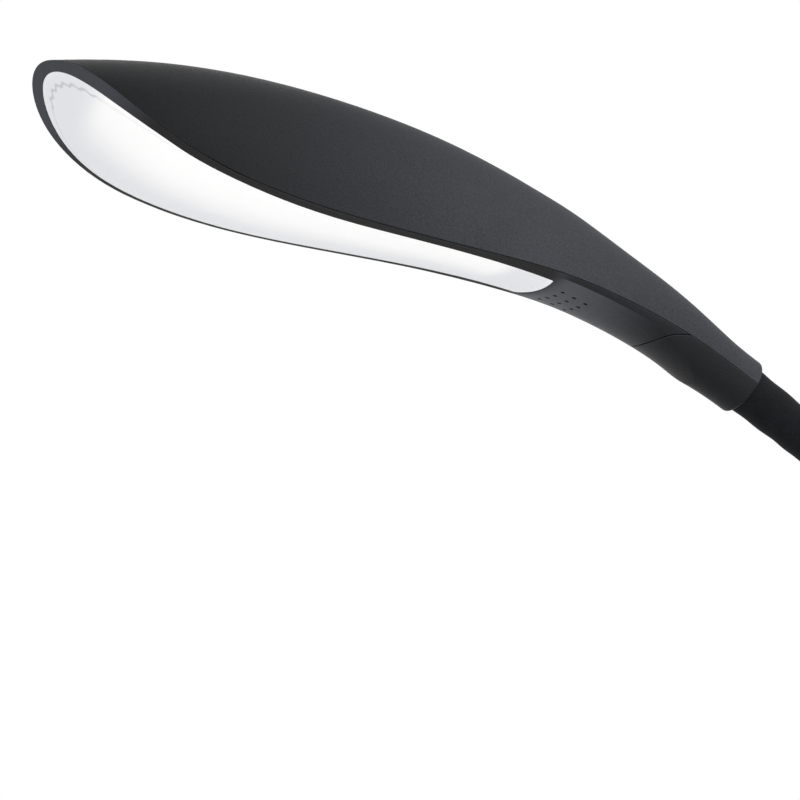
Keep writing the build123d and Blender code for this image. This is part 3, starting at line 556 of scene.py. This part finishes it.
def opalLensPaintedLight(name, look):
    # satin opal sheet with a painted highlight band and painted glow, a painted highlight on its
    # rim, and the notched guide's edge painted as a shadow showing through it
    material, tree, shader = newMaterial(name, {
        "Specular IOR Level": look["specular"],
        "Emission Strength": look["paintedGlowStrength"],
    })
    parts = splitPlace(tree, "Object")
    alongX, acrossY = parts["X"], parts["Y"]
    place = addNode(tree, "ShaderNodeTexCoord", (-1900, -600))
    cloud = addNode(tree, "ShaderNodeTexNoise", (-1700, -600), {"Scale": look["cloudSize"]})
    grain = addNode(tree, "ShaderNodeTexNoise", (-1700, -800), {"Scale": look["grainSize"]})
    for texture in (cloud, grain):
        tree.links.new(place.outputs["Object"], texture.inputs["Vector"])

    # painted highlight: a soft band along the near side, with painted glow
    half = addNode(tree, "ShaderNodeMapRange", (-1400, 200), {
        "From Min": opening["noseCentreX"], "From Max": opening["rearX"],
        "To Min": opening["noseHalfWidth"], "To Max": opening["rearHalfWidth"],
    })
    tree.links.new(alongX, half.inputs["Value"])
    across = addMath(tree, "DIVIDE", (-1200, 200), acrossY, half.outputs["Result"])
    drift = addMath(tree, "MULTIPLY", (-1400, -600), cloud.outputs["Fac"], look["waver"])
    wavy = addMath(tree, "ADD", (-1000, 200), across, drift)
    low, high = look["acrossFade"]
    highlightBand = addRamp(tree, wavy, (-800, 200), low, high, 1.0, 0.0)
    skew = addMath(tree, "MULTIPLY", (-1400, 0), acrossY, -look["noseSkew"])
    skewed = addMath(tree, "ADD", (-1200, 0), alongX, skew)
    low, high = (opening["noseX"] + fade for fade in look["noseFade"])
    nose = addRamp(tree, skewed, (-800, 0), low, high)
    high, low = (opening["rearX"] - fade for fade in look["rearShadeFade"])
    rear = addRamp(tree, alongX, (-800, -200), low, high, 1.0, 0.0)
    ends = addMath(tree, "MULTIPLY", (-600, 0), nose, rear)
    paintedGlow = addMath(tree, "MULTIPLY", (-400, 100), highlightBand, ends)
    # painted highlight in the base colour, and painted glow in the emission
    color = mixColors(tree, (-200, 200), paintedGlow, look["shade"], look["highlightTone"])
    glowColor = mixColors(tree, (0, -100), paintedGlow, look["faintPaintedGlow"], look["paintedGlow"])
    tree.links.new(glowColor, shader.inputs["Emission Color"])

    # painted shadow of the guide's edge seen through the diffuser: a thin grey line that turns into
    # teeth round the nose
    forward = addMath(tree, "SUBTRACT", (-1400, -1000), opening["noseCentreX"], alongX)
    angle = addMath(tree, "ARCTAN2", (-1200, -1000), acrossY, forward)
    squareX = addMath(tree, "POWER", (-1200, -1200), forward, 2.0)
    squareY = addMath(tree, "POWER", (-1200, -1350), acrossY, 2.0)
    square = addMath(tree, "ADD", (-1050, -1250), squareX, squareY)
    radius = addMath(tree, "SQRT", (-900, -1250), square)
    phase = addMath(tree, "MULTIPLY", (-1000, -1000), angle, look["toothCount"])
    wave = addMath(tree, "SINE", (-900, -1000), phase)
    teeth = addMath(tree, "MULTIPLY", (-800, -1000), wave, look["toothDepth"])
    start, end = look["toothArc"]
    fade = look["toothFade"]
    first = addRamp(tree, angle, (-1000, -1500), start, start + fade)
    last = addRamp(tree, angle, (-1000, -1650), end - fade, end, 1.0, 0.0)
    notched = addMath(tree, "MULTIPLY", (-800, -1550), first, last)
    zigzag = addMath(tree, "MULTIPLY", (-650, -1100), teeth, notched)
    inset = opening["noseLength"] - look["borderInset"]
    border = addMath(tree, "ADD", (-500, -1150), zigzag, inset)
    offset = addMath(tree, "SUBTRACT", (-350, -1200), radius, border)
    gap = addMath(tree, "ABSOLUTE", (-250, -1200), offset)
    low, high = look["borderRange"]
    line = addRamp(tree, gap, (-100, -1200), low, high, 1.0, 0.0)
    ahead = addRamp(tree, forward, (-250, -1400), *look["borderStart"])
    strength = addRamp(tree, notched, (-250, -1550), 0.0, 1.0, *look["borderShare"])
    edge = addMath(tree, "MULTIPLY", (50, -1250), line, ahead)
    drawn = addMath(tree, "MULTIPLY", (200, -1300), edge, strength)
    color = mixColors(tree, (0, 100), drawn, color, look["toothShadow"])

    # painted highlight: a thin white line along the diffuser's rim edge
    rim = useGroup(tree, edgeLine, (-400, 500), {"Width": look["rimHighlightWidth"], "Amount": 1.0})
    color = mixColors(tree, (200, 300), rim.outputs["Mask"], color, look["rim"])
    tree.links.new(color, shader.inputs["Base Color"])
    spread = addMath(
        tree, "MULTIPLY", (-1000, -400), cloud.outputs["Fac"], look["roughnessDrift"])
    rough = addMath(tree, "ADD", (-800, -400), spread, look["roughness"])
    tree.links.new(rough, shader.inputs["Roughness"])
    addRelief(tree, shader, grain.outputs["Fac"], look)
    shader.location = (600, 200)
    return material


lowerShellPaintedShade = lowerPlastic("lowerShellPaintedShade", lowerLook)
opalAcrylicPaintedLight = opalLensPaintedLight("opalAcrylicPaintedLight", lensLook)
print("finishes made")


# which finish goes on which CAD node

stretchCount = 9        # that the neck is cut into


def numbered(name):
    return [name + str(index) for index in range(stretchCount)]


finishOf = {
    shellPlastic: ["head_top_shell", "base_cover", "base_bottom"],
    lowerShellPaintedShade: ["head_lower_frame", "neck_clamp_cover"],
    opalAcrylicPaintedLight: ["diffuser"],
    guideAcrylic: ["light_guide", "status_light_pipe"],
    trayPlastic: ["reflector_tray", "lead_connector"],
    boardMask: ["led_board", "status_board", "switch_board", "driver_board"],
    chipPhosphor: ["leds"],
    milledAluminium: ["heat_spreader", "neck_ferrule"],
    drawnSteel: numbered("neck_core_") + [
        "board_screws", "status_screws", "ferrule_screws", "socket_screws", "base_screws",
        "board_spacers",
    ],
    castIron: ["weight_plate"],
    socketPaint: ["neck_socket"],
    buttonPlastic: ["power_button"],
    padRubber: ["rubber_pad"],
    sleeveRubber: numbered("neck_sleeve_"),
    componentPlastic: ["driver_parts", "switch_body", "dc_inlet"],
    leadSheath: numbered("neck_lead_") + ["base_lead", "head_lead"],
}
for finish, names in finishOf.items():
    for name in names:
        piece = nodes[name]
        piece.data.materials.clear()
        piece.data.materials.append(finish)
print("finishes given to", sum(len(names) for names in finishOf.values()), "nodes")


# neck sleeve, one smooth piece across each joint

sleeve = {
    "radius": 0.00650,
    "bore": 0.00475,
    "ripple": 0.00013,       # how far the sleeve swells over the core's coils
    "ripplePitch": 0.0105,
    "unevenness": 0.45,      # share of the ripple that comes and goes
    "wanderPitches": (0.047, 0.031),
    "wanderShift": 0.6,
    "collarSwell": 0.00042,  # the sleeve bulges where the collar squeezes it
    "swellRise": (0.0002, 0.0016),   # beyond the collar's mouth
    "swellFall": (0.0016, 0.0300),
    "ringStep": 0.0012,
    "ringSides": 48,
    "bendReach": 0.018,      # a reach each side of a joint
    "footReach": 0.3,        # below the first joint, as a share of the stretch there
    "plugDepth": 0.0195,     # the last stretch is longer than this beyond its joint
}
hinges = [joint for joint in frame["joints"] if joint["type"] == "hinge"]


def neckStations():
    # the joints between the sleeve's two ends, with the way the neck runs at each
    places = [Vector(joint["pos_m"]) for joint in hinges]
    stretches = numbered("neck_sleeve_")
    foot = Vector((places[0].x, 0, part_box(stretches[0])[0].z))
    points = [vertex.co for vertex in nodes[stretches[-1]].data.vertices]
    far = [point for point in points if (point - places[-1]).length > sleeve["plugDepth"]]
    tip = sum(far, Vector()) / len(far)
    stations = [foot] + places + [tip]
    ways = [Vector((0, 0, 1)), Vector((0, 0, 1))]
    for before, after in zip(places, places[2:]):
        ways.append((after - before).normalized())
    ways += [(tip - places[-1]).normalized()] * 2
    return stations, ways


def sampleNeck(stations, ways, step):
    # points about a step apart on the neck's middle line: point, way, length along, station
    samples, along = [], 0.0
    for index in range(len(stations) - 1):
        start, end = stations[index], stations[index + 1]
        span = (end - start).length
        count = max(2, round(span / step)) + 1
        leave, arrive = ways[index] * span / 3, ways[index + 1] * span / 3
        line = interpolate_bezier(start, start + leave, end - arrive, end, count)
        for place, point in enumerate(line[:-1] if index < len(stations) - 2 else line):
            share = place / (count - 1)
            way = ways[index].lerp(ways[index + 1], share).normalized()
            samples.append((point, way, along + span * share, index + share))
        along += span
    return samples


def smoothStep(value, low, high):
    share = min(1.0, max(0.0, (value - low) / (high - low)))
    return share * share * (3 - 2 * share)


def sleeveRadius(along, outside):
    # outside is how far the point lies beyond the collar's mouth
    turn = 2 * math.pi * along
    first, second = sleeve["wanderPitches"]
    swell = math.sin(turn / sleeve["ripplePitch"])
    drift = math.sin(turn / first + sleeve["wanderShift"]) * math.sin(turn / second)
    ripple = swell * (1 - sleeve["unevenness"] + sleeve["unevenness"] * drift) - 1
    bulge = smoothStep(outside, *sleeve["swellRise"])
    bulge *= 1 - smoothStep(outside, *sleeve["swellFall"])
    return sleeve["radius"] + sleeve["ripple"] * ripple + sleeve["collarSwell"] * bulge


def tubeMesh(name, rings, sides):
    # closed tube from rings of (middle, way, outer radius, inner radius)
    mesh = bmesh.new()
    across = Vector((0, 1, 0))
    loops = []
    for inside in (False, True):
        for middle, way, outer, inner in rings:
            radius = inner if inside else outer
            second = way.cross(across).normalized()
            loop = []
            for side in range(sides):
                turn = 2 * math.pi * side / sides
                out = across * math.cos(turn) + second * math.sin(turn)
                loop.append(mesh.verts.new(middle + out * radius))
            loops.append(loop)
    count = len(rings)
    order = list(range(count)) + list(range(2 * count - 1, count - 1, -1))
    for here, there in zip(order, order[1:] + order[:1]):
        rim = here == count - 1 or there == 0
        near, far = loops[here], loops[there]
        for side in range(sides):
            after = (side + 1) % sides
            face = mesh.faces.new((near[side], far[side], far[after], near[after]))
            face.smooth = not rim
            for edge in face.edges if rim else ():
                edge.smooth = False
    bmesh.ops.recalc_face_normals(mesh, faces=mesh.faces)
    data = bpy.data.meshes.new(name)
    mesh.to_mesh(data)
    mesh.free()
    piece = bpy.data.objects.new(name, data)
    scene.collection.objects.link(piece)
    return piece


def buildSleeve():
    # each piece runs from midway before its joint to midway after it
    stations, ways = neckStations()
    samples = sampleNeck(stations, ways, sleeve["ringStep"])
    headWay = ways[-1]
    cover = nodes["neck_clamp_cover"].data.vertices
    mouth = min(vertex.co.dot(headWay) for vertex in cover)
    last = len(hinges) - 1
    slack = 1e-6
    for index, joint in enumerate(hinges):
        low = 0.0 if index == 0 else index + 0.5
        high = len(stations) - 1.0 if index == last else index + 1.5
        rings = []
        for point, way, along, place in samples:
            if low - slack <= place <= high + slack:
                radius = sleeveRadius(along, mouth - point.dot(headWay))
                rings.append((point, way, radius, sleeve["bore"]))
        piece = tubeMesh("neckSleeve" + str(index), rings, sleeve["ringSides"])
        piece.data.materials.append(sleeveRubber)
        middle, way = stations[index + 1], ways[index + 1]
        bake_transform(piece)
        stretches = numbered("neck_sleeve_")
        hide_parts(*(stretches[index:] if index == last else stretches[index:index + 1]))
    print("neck sleeve built in", len(hinges), "pieces")


buildSleeve()


# stage

stageLook = {
    "floorSize": 2.7,
    "floorColor": (0.86, 0.86, 0.86, 1),
    "floorRoughness": 0.8,
    "floorSpecular": 0.2,
    "worldStrength": 0.62,
}

def layFloor(look):
    paint = newMaterial("floorPaint", {
        "Base Color": look["floorColor"],
        "Roughness": look["floorRoughness"],
        "Specular IOR Level": look["floorSpecular"],
    })[0]
    half = look["floorSize"] / 2
    corners = [(-half, -half, 0), (half, -half, 0), (half, half, 0), (-half, half, 0)]
    mesh = bpy.data.meshes.new("floor")
    mesh.from_pydata(corners, [], [(0, 1, 2, 3)])
    mesh.materials.append(paint)
    floor = bpy.data.objects.new("floor", mesh)
    scene.collection.objects.link(floor)


def paintWorld(strength):
    # even light on the object, and a white backdrop for the camera, gloss and glass
    world = bpy.data.worlds.new("studio")
    scene.world = world
    world.use_nodes = True
    sky = world.node_tree
    sky.nodes.clear()
    end = addNode(sky, "ShaderNodeOutputWorld", (600, 0))
    mix = addNode(sky, "ShaderNodeMixShader", (400, 0))
    white = (1, 1, 1, 1)
    light = addNode(sky, "ShaderNodeBackground", (100, 100), {"Color": white, "Strength": strength})
    seen = addNode(sky, "ShaderNodeBackground", (100, -100), {"Color": white, "Strength": 1.0})
    rays = addNode(sky, "ShaderNodeLightPath", (-400, 200)).outputs
    direct = addMath(sky, "MAXIMUM", (-200, 200), rays["Is Camera Ray"], rays["Is Glossy Ray"])
    either = addMath(sky, "MAXIMUM", (0, 250), direct, rays["Is Transmission Ray"])
    sky.links.new(either, mix.inputs[0])
    sky.links.new(light.outputs[0], mix.inputs[1])
    sky.links.new(seen.outputs[0], mix.inputs[2])
    sky.links.new(mix.outputs[0], end.inputs["Surface"])


layFloor(stageLook)
paintWorld(stageLook["worldStrength"])


def softLamp(name, look):
    lamp = bpy.data.lights.new(name, "AREA")
    lamp.shape = "RECTANGLE"
    lamp.size, lamp.size_y = look["size"]
    lamp.energy = look["power"]
    thing = bpy.data.objects.new(name, lamp)
    thing.location = look["place"]
    way = Vector(look["aim"]) - Vector(look["place"])
    thing.rotation_euler = way.to_track_quat("-Z", "Y").to_euler()
    scene.collection.objects.link(thing)


lampLooks = {
    "farLamp": {
        "size": (1.8, 1.0), "power": 6.2, "place": (-0.2, 1.5, 0.80), "aim": (-0.2, 0, 0.1),
    },
    "sideLamp": {
        "size": (0.8, 0.8), "power": 2.8, "place": (0.30, -0.45, 0.75), "aim": (-0.15, 0, 0.36),
    },
    "lowLamp": {
        "size": (1.2, 0.34), "power": 4.0, "place": (-0.45, -0.90, 0.20), "aim": (-0.2, 0, 0.36),
    },
}
for name, look in lampLooks.items():
    softLamp(name, look)


# camera, a little below the head and looking up at it

cameraLook = {
    "aim": (-0.2074, 0.0453, 0.3401),
    "azimuth": -27.0,
    "elevation": -7.0,
    "distance": 1.1,
    "lens": 173.25,
    "sensor": 36.0,
}


def addCamera(look):
    turn, lift = math.radians(look["azimuth"]), math.radians(look["elevation"])
    level = math.cos(lift)
    back = Vector((math.sin(turn) * level, -math.cos(turn) * level, math.sin(lift)))
    data = bpy.data.cameras.new("camera")
    data.sensor_width = look["sensor"]
    data.lens = look["lens"]
    camera = bpy.data.objects.new("camera", data)
    camera.location = Vector(look["aim"]) + back * look["distance"]
    camera.rotation_euler = (-back).to_track_quat("-Z", "Y").to_euler()
    scene.collection.objects.link(camera)
    scene.camera = camera


addCamera(cameraLook)
scene.view_settings.view_transform = "Standard"
print("stage, lamps and camera placed")
